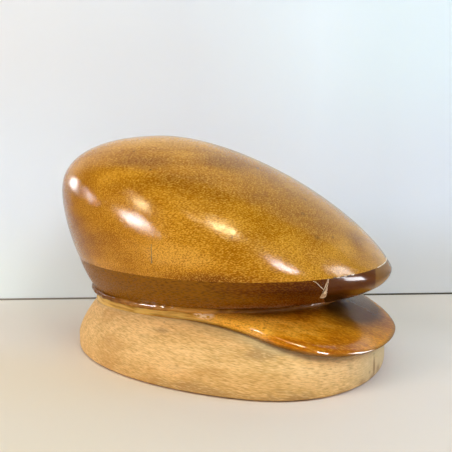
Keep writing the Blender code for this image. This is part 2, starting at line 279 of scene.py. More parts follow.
class Nodes:
    """A node tree, with one method that adds any node and a few that add common ones."""

    def __init__(self, tree):
        self.tree = tree

    def add(self, kind, settings=None, inputs=(), output=0):
        made = self.tree.nodes.new("ShaderNode" + kind)
        for name, setting in (settings or {}).items():
            if name == "stops":
                self.set_stops(made.color_ramp, setting)
            else:
                setattr(made, name, setting)
        pairs = inputs.items() if isinstance(inputs, dict) else enumerate(inputs)
        for name, given in pairs:
            socket = made.inputs[name]
            if isinstance(given, Value):
                self.tree.links.new(given.socket, socket)
            elif socket.type == "RGBA" and len(given) == 3:
                socket.default_value = (*given, 1.0)
            else:
                socket.default_value = given
        return Value(self, made.outputs[output])

    def set_stops(self, ramp, stops):
        while len(ramp.elements) < len(stops):
            ramp.elements.new(1.0)
        for element, (position, colour) in zip(ramp.elements, stops):
            element.position = position
            element.color = (*colour, 1.0)

    def ramp(self, value, stops):
        return self.add("ValToRGB", {"stops": stops}, {"Fac": value})

    def blend(self, share, under, over):
        inputs = {MIX_SHARE: share, MIX_UNDER: under, MIX_OVER: over}
        return self.add("Mix", {"data_type": "RGBA"}, inputs, output=MIX_RESULT)

    def stained(self, colour, *stains):
        """The colour under some stains, each a share and a colour, laid one over the other."""
        for share, stain in stains:
            colour = self.blend(share, colour, stain)
        return colour

    def clouds(self, place, detail=2.0, distortion=0.0):
        """Noise from 0 to 1, with about one cloud to each unit of place."""
        inputs = {"Vector": place, "Scale": 1.0, "Detail": detail, "Distortion": distortion}
        return self.add("TexNoise", {"noise_dimensions": "3D"}, inputs)

    def cells(self, place):
        """Distance to the nearest of many scattered points, about one to each unit of place."""
        settings = {"voronoi_dimensions": "3D", "feature": "F1"}
        return self.add("TexVoronoi", settings, {"Vector": place, "Scale": 1.0})

    def parts(self, place):
        first = self.add("SeparateXYZ", inputs=(place,))
        return [Value(self, socket) for socket in first.socket.node.outputs]


class Finish(Nodes):
    """A material for one piece, on a single Principled shader."""

    def __init__(self, name, **constants):
        self.material = bpy.data.materials.new(name)
        self.material.use_nodes = True
        super().__init__(self.material.node_tree)
        self.shader = self.tree.nodes["Principled BSDF"]
        for socket, value in constants.items():
            self.shader.inputs[socket.replace("_", " ")].default_value = value
        self.place = self.add("TexCoord", output="Object")
        self.x, self.y, self.z = self.parts(self.place)

    def along(self, axes, sizes):
        """The place in the wood's own axes, counted in sizes."""
        inputs = {"Vector": self.place, "Rotation": axes, "Scale": sizes}
        return self.add("Mapping", {"vector_type": "TEXTURE"}, inputs)

    def grain(self, axes, sizes, detail=3.0, distortion=0.0):
        """Noise from 0 to 1, drawn out to these sizes along the wood's own axes."""
        return self.clouds(self.along(axes, sizes), detail, distortion)

    def flecks(self, axes, sizes, edge, core):
        """Flecks scattered in the wood: 1 up to core from their middles and 0 from edge on."""
        return self.cells(self.along(axes, sizes)).rise(edge, core)

    def above_groove(self, low, high):
        """0 up to the height low above the groove and 1 from high on; high may be the lower."""
        return self.z.rise(GROOVE_Z + low, GROOVE_Z + high)

    def patch(self, point, size):
        """1 at a point, falling smoothly to 0 at the skin of an egg with these half sizes."""
        inputs = {"Vector": self.place, "Location": point, "Scale": size}
        inside = self.add("Mapping", {"vector_type": "TEXTURE"}, inputs)
        return self.add("VectorMath", {"operation": "LENGTH"}, (inside,), output="Value").rise(1.0, 0.0)

    def patches(self, marks):
        """The sum of some patches, each written as point, size and amount."""
        total = 0.0
        for point, size, amount in marks:
            total = self.patch(point, size) * amount + total
        return total

    def lay(self, **values):
        """Feeds the shader's sockets that vary over the surface."""
        for socket, value in values.items():
            target = self.shader.inputs[socket.replace("_", " ")]
            self.tree.links.new(value.socket, target)
        return self.material

    def bumps(self, height, depth):
        return self.add("Bump", inputs={"Strength": 1.0, "Distance": depth, "Height": height})


def wood_axes(grain, ray_face):
    """Turn of a board whose grain runs along grain and whose ray sheets face ray_face."""
    across = Vector(ray_face).normalized()
    along = Vector(grain)
    along = (along - across * along.dot(across)).normalized()
    out = across.cross(along)
    return tuple(Matrix((along, out, across)).transposed().to_euler())


# Grain of each board: which way its fibres run, and which way its ray sheets face
CROWN_AXES = wood_axes((1.0, 0.0, 0.0), (-0.306, 0.866, 0.394))
BAND_AXES = wood_axes((1.0, 0.05, 0.04), (0.1, 0.5, 1.0))
PEAK_AXES = wood_axes((1.0, 0.1, -0.15), (0.2, 0.6, 1.0))
BASE_AXES = wood_axes((1.0, 0.0, -0.1), (0.15, 0.9, 0.5))

# The crown's growth layers lie nearly level, so they ring it like the lines of a map
LAYER_AXES = wood_axes((1.0, 0.0, 0.05), (-0.05, 0.12, 1.0))

# The fine weave of the base is tipped a little. Other patterns keep the frame's own axes.
WEAVE_AXES = (0.0, 0.1, 0.0)
UNTURNED = (0.0, 0.0, 0.0)


def loft(rings, top=None):
    """Side faces through rings of points, lowest first, closed by a top point if there is one."""
    bm = bmesh.new()
    loops = [[bm.verts.new(point) for point in ring] for ring in rings]
    for lower, upper in zip(loops, loops[1:]):
        for i, corner in enumerate(lower):
            j = (i + 1) % len(lower)
            bm.faces.new((corner, lower[j], upper[j], upper[i]))
    if top is not None:
        peak = bm.verts.new(top)
        last = loops[-1]
        for i, corner in enumerate(last):
            bm.faces.new((corner, last[(i + 1) % len(last)], peak))
    return bm, loops


def sink(point, depth, wavelength, seed):
    """How far hand work left the surface below the drawn one at a point."""
    at = point / wavelength + Vector((seed, 0.0, 0.0))
    fine = FINE_SHARE * noise.noise(at * FINE_PITCH)
    return SKIN + depth * (0.5 + 0.5 * noise.noise(at) + fine)


def hand_smooth(bm, depth, wavelength, seed):
    """Sinks the surface a little unevenly, as a spokeshave and sandpaper leave it."""
    bm.normal_update()
    moves = [corner.normal * -sink(corner.co, depth, wavelength, seed) for corner in bm.verts]
    for corner, move in zip(bm.verts, moves):
        corner.co += move


def flatten(loop, z):
    for corner in loop:
        corner.co.z = z


def close_flat(bm, loop):
    bm.faces.new(loop)


def close_ruled(bm, loop):
    """Closes a ring that is the same on both sides of Y = 0 with strips along Y."""
    count = len(loop)
    for i in range(count // 2):
        ring = [loop[i], loop[i + 1], loop[(count - i - 1) % count], loop[(count - i) % count]]
        corners = [c for k, c in enumerate(ring) if c not in ring[:k]]
        if len(corners) > 2:
            bm.faces.new(corners)


def mesh_from(name, bm, material):
    mesh = bpy.data.meshes.new(name)
    bm.to_mesh(mesh)
    bm.free()
    mesh.materials.append(material)
    return mesh


def put(name, data):
    """A new object in the scene that holds a mesh, a lamp or a lens."""
    made = bpy.data.objects.new(name, data)
    bpy.context.scene.collection.objects.link(made)
    return made


def piece(name, bm, finish, stands_for=(), sharp=40):
    """A finished piece of the block, which rides on its one body."""
    bmesh.ops.recalc_face_normals(bm, faces=bm.faces)
    mesh = mesh_from(name, bm, finish)
    mesh.shade_smooth()
    mesh.set_sharp_from_angle(angle=math.radians(sharp))
    made = put(name, mesh)
    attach(made, "root")
    if stands_for:
        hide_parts(*stands_for)


def crown_outline(z):
    """Back end, front end, half width and swell of the crown and band at height z."""
    rise = z - GROOVE_Z
    full = TOP_Z - GROOVE_Z

    def above(level, curve):
        return max(0.0, 1.0 - progress(rise, level, full) ** curve[0]) ** (1.0 / curve[1])

    def below(level):
        return progress(rise, level, 0.0)

    if rise >= BACK_LEVEL:
        back = CROWN_TOP_X + (CROWN_BACK_X - CROWN_TOP_X) * above(BACK_LEVEL, BACK_CURVE)
    else:
        back = CROWN_BACK_X + BACK_OVERHANG * below(BACK_LEVEL) ** BACK_UNDERCUT
    front_reach = HEAD_X + FRONT_OVERHANG - CROWN_TOP_X
    if rise >= FRONT_LEVEL:
        front = CROWN_TOP_X + front_reach * above(FRONT_LEVEL, FRONT_CURVE)
    else:
        front = HEAD_X + FRONT_OVERHANG * math.sqrt(1.0 - below(FRONT_LEVEL) ** 2)
    widest = HEAD_Y + SIDE_OVERHANG
    if rise >= SIDE_LEVEL:
        side = widest * above(SIDE_LEVEL, SIDE_CURVE)
    else:
        side = HEAD_Y + SIDE_OVERHANG * (1.0 - below(SIDE_LEVEL) ** SIDE_UNDERCUT)
    if z <= SEAM_Z:
        swell = WIDE_FRONT * rise / (SEAM_Z - GROOVE_Z)
    else:
        swell = between(WIDE_FRONT, WIDE_FRONT_AT_TOP, (z - SEAM_Z) / (TOP_Z - SEAM_Z))
    return back, front, side, swell * side / widest


def crown_point(z, turn):
    """The crown's or band's surface at height z, at a turn from the front."""
    back, front, side, swell = crown_outline(z)
    x = (back + front) / 2 + (front - back) / 2 * math.cos(turn)
    return Vector((x, (side + swell * math.cos(turn)) * math.sin(turn), z))


def ease_seam(bm, depth, height):
    """Rounds over the edge along the seam, towards the nose only."""
    for corner in bm.verts:
        share = max(0.0, 1.0 - abs(corner.co.z - SEAM_Z) / height) ** 2
        ahead = smooth(progress(corner.co.x, EASE_START_X, EASE_START_X + EASE_REACH))
        flat = Vector((corner.normal.x, corner.normal.y, 0.0))
        corner.co -= flat * depth * share * ahead


def crown_ring(z):
    return [crown_point(z, 2 * math.pi * i / AROUND) for i in range(AROUND)]


def make_crown():
    full = TOP_Z - SEAM_Z
    heights = [math.sin(math.pi / 2 * i / CROWN_LEVELS) for i in range(CROWN_LEVELS)]
    rings = [crown_ring(SEAM_Z + full * share) for share in heights]
    bm, loops = loft(rings, top=(CROWN_TOP_X, 0.0, TOP_Z))
    hand_smooth(bm, *CROWN_SMOOTHING)
    ease_seam(bm, *CROWN_EASE)
    flatten(loops[0], SEAM_Z)
    close_flat(bm, loops[0])
    piece("carved_crown", bm, honey_varnish(), ("crown",))


def band_blank():
    """The whole band, closed top and bottom."""
    full = SEAM_Z - GROOVE_Z
    heights = [(i / BAND_LEVELS) ** 2 for i in range(BAND_LEVELS + 1)]
    bm, loops = loft([crown_ring(GROOVE_Z + full * share) for share in heights])
    hand_smooth(bm, *CROWN_SMOOTHING)
    ease_seam(bm, *NOSE_EASE)
    flatten(loops[0], GROOVE_Z)
    flatten(loops[-1], SEAM_Z)
    close_flat(bm, loops[0])
    close_flat(bm, loops[-1])
    return bm


def sawn_off(bm, x, keep_front):
    """Cuts the band across at x, and closes the cut."""
    parts = bm.verts[:] + bm.edges[:] + bm.faces[:]
    way = {"clear_inner": keep_front, "clear_outer": not keep_front}
    cut = bmesh.ops.bisect_plane(bm, geom=parts, plane_co=(x, 0, 0), plane_no=(1, 0, 0), **way)
    edges = [part for part in cut["geom_cut"] if isinstance(part, bmesh.types.BMEdge)]
    bmesh.ops.edgeloop_fill(bm, edges=edges)


def make_band():
    board = band_blank()
    sawn_off(board, NOSE_JOINT_X - JOINT_CLEAR, keep_front=False)
    nose = band_blank()
    sawn_off(nose, NOSE_JOINT_X + JOINT_CLEAR, keep_front=True)
    piece("dark_band", board, dark_varnish(), ("crown_band",))
    piece("dark_nose", nose, dark_red_varnish(), ("band_nose",))


def saw_line(x):
    """Height of the sawn joint between the base block and the peak board."""
    if x < -BACK_DIP_START:
        return BASE_HEIGHT - BACK_DIP * progress(x, -BACK_DIP_START, -COLLAR_X) ** 2
    if x <= PEAK_ROOT_X:
        return BASE_HEIGHT
    share = progress(x, PEAK_TIP_X, PEAK_ROOT_X)
    climb = 1.0 - (1.0 - share ** SAW_SLOPE_START) ** SAW_SLOPE_END
    return between(PEAK_TIP_HEIGHT, BASE_HEIGHT, climb)


def collar_point(angle):
    """The collar's wall in the direction of an angle from the front."""
    radius = 1.0 / math.hypot(math.cos(angle) / COLLAR_X, math.sin(angle) / COLLAR_Y)
    return Vector((radius * math.cos(angle), radius * math.sin(angle)))


def edge_wave(x):
    """How far out of its line the near edge wanders at x."""
    total = 0.0
    for middle, reach, depth in EDGE_WAVES:
        share = (x - middle) / reach
        total += depth * share * math.exp(-share * share)
    return total


def peak_side(side):
    """Edge of the peak from its tip to where it leaves the collar; side is 1 for the far one."""
    points = []
    tip_y = PEAK_TIP_Y * side
    fullness = FAR_FULLNESS if side > 0 else NEAR_FULLNESS
    for i in range(FRONT_STEPS):
        turn = math.pi / 2 * i / FRONT_STEPS
        x = between(PEAK_WIDEST_X, PEAK_TIP_X, math.cos(turn) ** PEAK_FULLNESS)
        points.append((x, between(tip_y, PEAK_Y, math.sin(turn) ** fullness)))
    for i in range(HORN_STEPS):
        share = 1.0 - i / HORN_STEPS
        x = between(PEAK_ROOT_X, PEAK_WIDEST_X, share)
        wall = COLLAR_Y * math.sqrt(1.0 - (x / COLLAR_X) ** 2)
        points.append((x, between(wall, PEAK_Y, smooth(share))))
    if side < 0:
        points = [(x, y + edge_wave(x)) for x, y in points]
    return [Vector((x, y * side)) for x, y in points]


def peak_stations():
    """Matching points on the collar and on the outer edge, all the way round."""
    ends = {}
    for side in (1, -1):
        ends[side] = [(collar_point(math.atan2(at.y, at.x)), at) for at in peak_side(side)]
    root = ends[1][-1][0]
    start = math.atan2(root.y, root.x)
    back = []
    for i in range(1, BACK_STEPS):
        wall = collar_point(start + 2 * (math.pi - start) * i / BACK_STEPS)
        back.append((wall, wall))
    return ends[1] + back + ends[-1][:0:-1]


def near_edge(x):
    """Height of the near edge and share of its roll at x."""
    for start, end in zip(NEAR_EDGE, NEAR_EDGE[1:]):
        share = progress(x, start[0], end[0])
        if share < 1.0:
            break
    return [between(a, b, share) for a, b in zip(start[1:], end[1:])]


def peak_section(edge):
    """Height of the edge, and shares of the way out and up from there to the collar's top."""
    ahead = progress(edge.x, PEAK_WIDEST_X, PEAK_TIP_X) ** AHEAD_CURVE
    near = progress(-edge.y, 0.0, ROLL_START_Y) * (1.0 - ahead ** 2)
    near_wall, near_roll = near_edge(edge.x)
    wall = between(between(*EDGE_WALL, ahead), near_wall, near)
    roll = between(between(*EDGE_ROLL, ahead), near_roll, near)
    lip = LIP * near
    points = []
    for i in range(SLOPE_STEPS + 1):
        t = i / SLOPE_STEPS
        first = 3 * (1 - t) ** 2 * t
        second = 3 * (1 - t) * t ** 2
        out = (1 - t) ** 3 + first + second * lip
        points.append((out, first * roll + second * COLLAR_CURVE + t ** 3 * SLOPE_TOP))
    return wall, points + [(0.0, 1.0)]


def peak_column(inner, outer):
    """Points up one side of the peak board, from its sawn joint to the collar's top."""
    reach = (inner - outer).length
    wall, section = peak_section(outer)
    radius = min(EDGE_ROUND, wall * EDGE_ROUND_SHARE)
    column = []
    for turn in ROUND_TURNS:
        inward = 1 - math.sin(math.radians(turn))
        upward = 1 - math.cos(math.radians(turn))
        at = outer.lerp(inner, min(radius / reach, SLOPE_ROUND_SHARE) * inward) if reach else outer
        column.append((at.x, at.y, saw_line(at.x) + HALF_GAP + radius * upward))
    wall_top = saw_line(outer.x) + wall
    for out, up in section:
        at = inner.lerp(outer, out)
        column.append((at.x, at.y, between(wall_top, GROOVE_Z, up)))
    return column


def make_peak_board():
    columns = [peak_column(inner, outer) for inner, outer in peak_stations()]
    bm, loops = loft(list(zip(*columns)))
    hand_smooth(bm, *PEAK_SMOOTHING)
    close_flat(bm, loops[0])
    close_flat(bm, loops[-1])
    bmesh.ops.triangulate(bm, faces=bm.faces[-2:])
    piece("carved_peak", bm, amber_varnish(), ("peak_board",), sharp=60)


def signed_power(value, power):
    return math.copysign(abs(value) ** power, value)


def base_outline():
    """The base's footprint, fuller at the back than at the front."""
    points = []
    for i in range(AROUND):
        turn = 2 * math.pi * i / AROUND
        ahead = math.cos(turn) >= 0
        end = BASE_FRONT_X if ahead else BASE_BACK_X
        fullness = BASE_FRONT_FULLNESS if ahead else BASE_BACK_FULLNESS
        reach = abs(end - BASE_WIDEST_X)
        x = BASE_WIDEST_X + reach * signed_power(math.cos(turn), fullness)
        points.append(Vector((x, BASE_Y * signed_power(math.sin(turn), fullness))))
    return points


def base_column(outer):
    """Points up one side of the base, from its foot to the sawn joint."""
    inner = collar_point(math.atan2(outer.y, outer.x))
    top = saw_line(min(inner.x, PEAK_ROOT_X))
    ahead = (1 + math.cos(math.atan2(outer.y, outer.x))) / 2
    power = between(BASE_SHOULDER_BACK, BASE_SHOULDER_FRONT, ahead)

    def at(share):
        flat = between(inner, outer, 1.0 - share ** power)
        return Vector((*flat, between(BASE_WALL_HEIGHT, top, share)))

    low, high = 0.0, 1.0
    if at(1.0).z > saw_line(at(1.0).x):
        for _ in range(HALVINGS):
            middle = (low + high) / 2
            if at(middle).z > saw_line(at(middle).x):
                high = middle
            else:
                low = middle
    column = []
    for height, set_in in BASE_WALL:
        flat = outer * (1.0 - set_in / outer.length)
        column.append(Vector((*flat, height)))
    column += [at(high * i / BASE_LEVELS) for i in range(BASE_LEVELS + 1)]
    return column


def make_base():
    columns = [base_column(outer) for outer in base_outline()]
    bm, loops = loft(list(zip(*columns)))
    top = [corner.co.z - JOINT_CLEAR for corner in loops[-1]]
    hand_smooth(bm, *BASE_SMOOTHING)
    for corner, z in zip(loops[-1], top):
        corner.co.z = z
    flatten(loops[0], 0.0)
    close_flat(bm, loops[0])
    close_ruled(bm, loops[-1])
    piece("bare_base", bm, raw_wood(), ("base_block",))


def groove_point(angle, inset, z):
    """A point in the cord groove, inset from the head oval."""
    x = (HEAD_X - inset) * math.cos(angle)
    y = (HEAD_Y - inset) * math.sin(angle)
    return Vector((x, y, z))


def run_groove_bead():
    """Varnish that ran into the groove and set there as a fat, lumpy bead."""
    rings = []
    for i in range(BEAD_STEPS):
        angle = 2 * math.pi * i / BEAD_STEPS
        way = Vector((math.cos(angle), math.sin(angle), 0.0))
        lump = sum(noise.noise(way * number) * height for number, height in BEAD_LUMPS)
        lump *= 1.0 - BEAD_CALM * (1.0 + way.x)
        ahead = progress(way.x, 0.0, BEAD_FRONT)
        half_out = between(*BEAD_HALF_OUT, ahead) * (1.0 + lump)
        half_up = between(*BEAD_HALF_UP, ahead) * (1.0 + lump * BEAD_FLATTER)
        wander = BEAD_WANDER[1] * noise.noise(way * BEAD_WANDER[0])
        low = GROOVE_Z - between(*BEAD_DROP, ahead) + wander
        middle = groove_point(angle, between(*BEAD_INSET, ahead), low)
        ring = []
        for k in range(BEAD_SIDES):
            turn = 2 * math.pi * k / BEAD_SIDES
            spot = way * BEAD_WRINKLES[0] + Vector((0.0, 0.0, 2.0 * turn))
            wrinkle = 1.0 + BEAD_WRINKLES[1] * noise.noise(spot)
            out = half_out * math.cos(turn) * wrinkle
            up = half_up * math.sin(turn) * wrinkle
            ring.append(middle + way * out + Vector((0.0, 0.0, up)))
        rings.append(ring)
    bm = bmesh.new()
    loops = [[bm.verts.new(point) for point in ring] for ring in rings]
    for i, loop in enumerate(loops):
        after = loops[(i + 1) % BEAD_STEPS]
        for k in range(BEAD_SIDES):
            m = (k + 1) % BEAD_SIDES
            bm.faces.new((loop[k], after[k], after[m], loop[m]))
    piece("groove_varnish", bm, set_varnish(), sharp=180)


def near_face(x, z):
    """The point of the crown's or band's near side at x and z, and the way out of it."""
    back, front, _, _ = crown_outline(z)
    turn = -math.acos(min(1.0, (2 * x - back - front) / (front - back)))
    step = 0.0005
    around = crown_point(z, turn + step) - crown_point(z, turn - step)
    upward = crown_point(z + step, turn) - crown_point(z - step, turn)
    out = around.cross(upward).normalized()
    point = crown_point(z, turn)
    return point - out * sink(point, *CROWN_SMOOTHING), out


def skin_strip(name, path, finish, proud, ragged=0.3):
    """A thin strip on the near side, through points of x, z and half width."""
    fine = []
    for start, end in zip(path, path[1:]):
        for i in range(STRIP_STEPS):
            fine.append([between(a, b, i / STRIP_STEPS) for a, b in zip(start, end)])
    fine.append(list(path[-1]))
    spots = []
    for x, z, half in fine:
        wander = noise.noise(Vector((x, z, proud)) * STRIP_SPOTS)
        spots.append((*near_face(x + wander * half * ragged, z), half * (1.0 + wander * ragged)))
    rings = []
    for i, (point, out, half) in enumerate(spots):
        along = spots[min(i + 1, len(spots) - 1)][0] - spots[max(i - 1, 0)][0]
        side = along.cross(out).normalized()
        ring = []
        for k in range(STRIP_SIDES):
            turn = 2 * math.pi * k / STRIP_SIDES
            ring.append(point + side * half * math.cos(turn) + out * proud * math.sin(turn))
        rings.append(ring)
    bm, loops = loft(rings)
    close_flat(bm, loops[0])
    close_flat(bm, loops[-1])
    piece(name, bm, finish)


def at_joint(points):
    """Points measured from the nose joint and the seam, as x, z and half width."""
    return [(NOSE_JOINT_X + ahead, SEAM_Z - drop, half) for ahead, drop, half in points]


def run_seam_repairs():
    """The filled gap where the nose meets the band, what crept out of the seams, and a scratch."""
    cream = filler("cream_filler", (0.40, 0.22, 0.09), (0.88, 0.74, 0.52))
    pale = filler("pale_glue", (0.62, 0.42, 0.20), (0.92, 0.80, 0.58))
    dark = filler("dark_dirt", (0.020, 0.008, 0.003), (0.075, 0.030, 0.008))
    green = filler("green_scratch", (0.13, 0.085, 0.015), (0.26, 0.18, 0.035))
    skin_strip("joint_filler", at_joint(FILLER_WEDGE), cream, proud=0.00035, ragged=0.15)
    skin_strip("filler_split", at_joint(FILLER_SPLIT), dark, proud=0.00045)
    skin_strip("cracked_glue", at_joint(CRACKED_GLUE), pale, proud=0.00015)
    tip = [between(*TIP_GLUE, i / TIP_GLUE_STEPS) for i in range(TIP_GLUE_STEPS + 1)]
    skin_strip("tip_glue", [(x, SEAM_Z + 0.0002, CREEP_HALF) for x in tip], pale, proud=0.0002)
    for i in range(FLAKES):
        start = FLAKE_START + FLAKE_PITCH * i
        flake = [(start + FLAKE_LENGTH * share, SEAM_Z + 0.0001, CREEP_HALF) for share in (0.0, 0.5, 1.0)]
        skin_strip(f"seam_flake_{i + 1}", flake, pale if i % 2 else dark, proud=0.0002)
    skin_strip("crown_scratch", CROWN_SCRATCH, green, proud=0.00008)


# Steps of the sawn joint in a colour ramp, which holds at most 32 stops
JOINT_STEPS = 28


def below_joint(finish):
    """How far a place lies below the sawn joint of the peak board and the base."""
    span = PEAK_TIP_X - BASE_BACK_X
    places = [i / JOINT_STEPS for i in range(JOINT_STEPS + 1)]
    heights = [saw_line(BASE_BACK_X + span * place) / BASE_HEIGHT for place in places]
    stops = [(place, (height, height, height)) for place, height in zip(places, heights)]
    return finish.ramp((finish.x - BASE_BACK_X) * (1.0 / span), stops) * BASE_HEIGHT - finish.z


# Darker and lighter parts of the crown: point, half sizes and how much lighter
CROWN_TONES = (
    ((-0.002, -0.080, 0.136), (0.040, 0.030, 0.018), -0.44),
    ((-0.045, -0.066, 0.145), (0.050, 0.030, 0.014), -0.42),
    ((-0.030, -0.071, 0.143), (0.026, 0.020, 0.010), -0.16),
    ((-0.012, -0.071, 0.143), (0.022, 0.020, 0.010), -0.10),
    ((-0.066, -0.065, 0.142), (0.016, 0.016, 0.012), 0.18),
    ((-0.053, -0.079, 0.132), (0.014, 0.014, 0.008), 0.14),
    ((0.020, -0.042, 0.146), (0.034, 0.030, 0.014), -0.50),
    ((0.014, -0.012, 0.152), (0.030, 0.022, 0.010), -0.18),
    ((-0.018, -0.094, 0.116), (0.018, 0.020, 0.012), -0.26),
    ((0.010, -0.085, 0.124), (0.040, 0.030, 0.016), -0.16),
    ((0.045, -0.050, 0.128), (0.060, 0.050, 0.036), -0.38),
    ((0.052, -0.038, 0.131), (0.022, 0.018, 0.010), -0.14),
    ((0.080, -0.050, 0.104), (0.040, 0.040, 0.030), -0.24),
    ((0.088, -0.065, 0.096), (0.020, 0.020, 0.012), -0.18),
    ((0.068, -0.074, 0.105), (0.020, 0.020, 0.013), -0.24),
    ((0.086, -0.076, 0.088), (0.022, 0.022, 0.012), -0.18),
    ((0.110, -0.035, 0.090), (0.014, 0.022, 0.012), -0.34),
    ((0.056, -0.088, 0.104), (0.022, 0.022, 0.014), -0.20),
    ((0.038, -0.093, 0.106), (0.020, 0.020, 0.010), 0.26),
    ((-0.108, -0.050, 0.100), (0.045, 0.070, 0.060), -0.54),
    ((-0.078, -0.072, 0.092), (0.040, 0.040, 0.036), -0.40),
    ((-0.048, -0.092, 0.093), (0.022, 0.020, 0.016), -0.32),
    ((-0.058, -0.086, 0.112), (0.028, 0.024, 0.010), -0.22),
    ((-0.028, -0.090, 0.125), (0.016, 0.016, 0.010), -0.14),
    ((0.002, -0.105, 0.088), (0.030, 0.030, 0.018), 0.26),
    ((0.016, -0.106, 0.084), (0.024, 0.020, 0.009), 0.28),
    ((0.028, -0.106, 0.0735), (0.046, 0.030, 0.0070), -0.44),
    ((0.042, -0.102, 0.090), (0.026, 0.024, 0.010), -0.20),
    ((0.026, -0.089, 0.117), (0.018, 0.020, 0.010), -0.14),
    ((0.070, -0.085, 0.078), (0.050, 0.030, 0.012), 0.14),
    ((-0.040, -0.015, 0.168), (0.090, 0.060, 0.020), 0.42),
)

# Pin holes, nicks and small stains in the crown: point, half sizes and how dark
CROWN_MARKS = (
    ((-0.0220, -0.0769, 0.1383), (0.0012, 0.0020, 0.0012), 1.0),
    ((-0.0041, -0.0328, 0.1547), (0.0016, 0.0024, 0.0014), 0.7),
    ((-0.0419, -0.0584, 0.1511), (0.0012, 0.0022, 0.0016), 0.8),
    ((0.0190, -0.0528, 0.1413), (0.0012, 0.0020, 0.0010), 0.6),
    ((0.0384, -0.0988, 0.0983), (0.0011, 0.0030, 0.0018), 0.8),
    ((0.0757, -0.0584, 0.1093), (0.0026, 0.0036, 0.0024), 0.55),
    ((0.0746, -0.0378, 0.1173), (0.0022, 0.0030, 0.0016), 0.6),
    ((0.0861, -0.0691, 0.0953), (0.0028, 0.0038, 0.0026), 0.50),
    ((0.0950, -0.0580, 0.0944), (0.0016, 0.0024, 0.0014), 0.7),
    ((0.0402, -0.0295, 0.1386), (0.0020, 0.0028, 0.0012), 0.8),
)


def honey_varnish():
    """The crown: honey coloured hardwood with short ray flecks, under gloss varnish."""
    finish = Finish("honey_varnish", Coat_Roughness=0.08, Coat_IOR=1.45, Specular_IOR_Level=0.11)
    flecks = finish.flecks(CROWN_AXES, (0.0018, 0.0008, 0.0007), edge=0.70, core=0.20)
    fibres = finish.grain(CROWN_AXES, (0.0014, 0.0006, 0.00042), detail=0.0)
    layers = finish.grain(LAYER_AXES, (0.150, 0.080, 0.010), distortion=0.4)
    blotches = finish.grain(CROWN_AXES, (0.040, 0.030, 0.024))
    pores = finish.grain(CROWN_AXES, (0.0014, 0.0007, 0.0007), detail=1.0)
    tone = layers * 0.65 + blotches * 0.85 + finish.patches(CROWN_TONES) - 0.19
    stops = [(0.05, (0.25, 0.080, 0.001)), (0.38, (0.44, 0.168, 0.003)), (0.64, (0.61, 0.266, 0.015)),
             (0.95, (0.76, 0.375, 0.050))]
    colour = finish.stained(
        finish.ramp(tone, stops),
        (flecks * 0.12 + fibres.rise(0.54, 0.3) * 0.56, (0.240, 0.070, 0.001)),
        (fibres.rise(0.50, 0.70) * 0.50, (0.80, 0.44, 0.06)),
        (finish.patches(CROWN_MARKS) * 0.9, (0.045, 0.018, 0.004)),
    )
    gloss = 0.09 + flecks * 0.05 + pores * 0.06
    coat = 0.01 + blotches * 0.05 + pores.rise(0.50, 0.64) * 0.16
    bumps = finish.bumps(fibres * 0.4 + pores * 0.6, depth=0.00011)
    return finish.lay(Base_Color=colour, Roughness=gloss, Coat_Weight=coat, Normal=bumps)


def dark_varnish():
    """The band: brown hardwood with fine level flecks, darker towards the nose."""
    finish = Finish("dark_varnish", Coat_Roughness=0.12, Coat_IOR=1.45, Specular_IOR_Level=0.045)
    flecks = finish.flecks(BAND_AXES, (0.0020, 0.0008, 0.0005), edge=0.62, core=0.18)
    grain = finish.grain(BAND_AXES, (0.016, 0.003, 0.0010))
    threads = finish.grain(BAND_AXES, (0.0030, 0.0009, 0.00045), detail=0.0)
    broad = finish.grain(BAND_AXES, (0.050, 0.020, 0.008), detail=2.0)
    back = finish.x.rise(0.090, -0.010)
    foot = finish.above_groove(0.012, 0.002)
    tone = back * 0.75 + grain * 0.2 + broad * 0.5 - foot * 0.1
    stops = [(0.20, (0.108, 0.021, 0.001)), (0.55, (0.190, 0.054, 0.001)), (0.95, (0.300, 0.120, 0.004))]
    shade = finish.z.near(GROOVE_Z + 0.016, 0.0090) * finish.x.rise(0.040, 0.080)
    # Pale streaks along the band's lower lip at the front: varnish runs, with a painted sheen on them
    run = finish.above_groove(0.0070, 0.0038) * broad.rise(0.40, 0.62) * finish.x.rise(0.010, 0.040)
    colour = finish.stained(
        finish.ramp(tone, stops),
        (flecks * 0.3 + threads.rise(0.52, 0.3) * 0.5, (0.075, 0.018, 0.001)),
        (threads.rise(0.50, 0.70) * 0.5, (0.32, 0.120, 0.006)),
        (shade * 0.6, (0.050, 0.008, 0.001)),
        (run * 0.8, (0.36, 0.180, 0.090)),
    )
    gloss = 0.24 + flecks * 0.15
    coat = 0.02 + broad * 0.12
    bumps = finish.bumps(grain * 0.6 - flecks * 0.5, depth=0.00002)
    return finish.lay(Base_Color=colour, Roughness=gloss, Coat_Weight=coat, Normal=bumps)


# The nose's tip is a paler patch with an edge across it
NOSE_EDGE_X = 0.1222


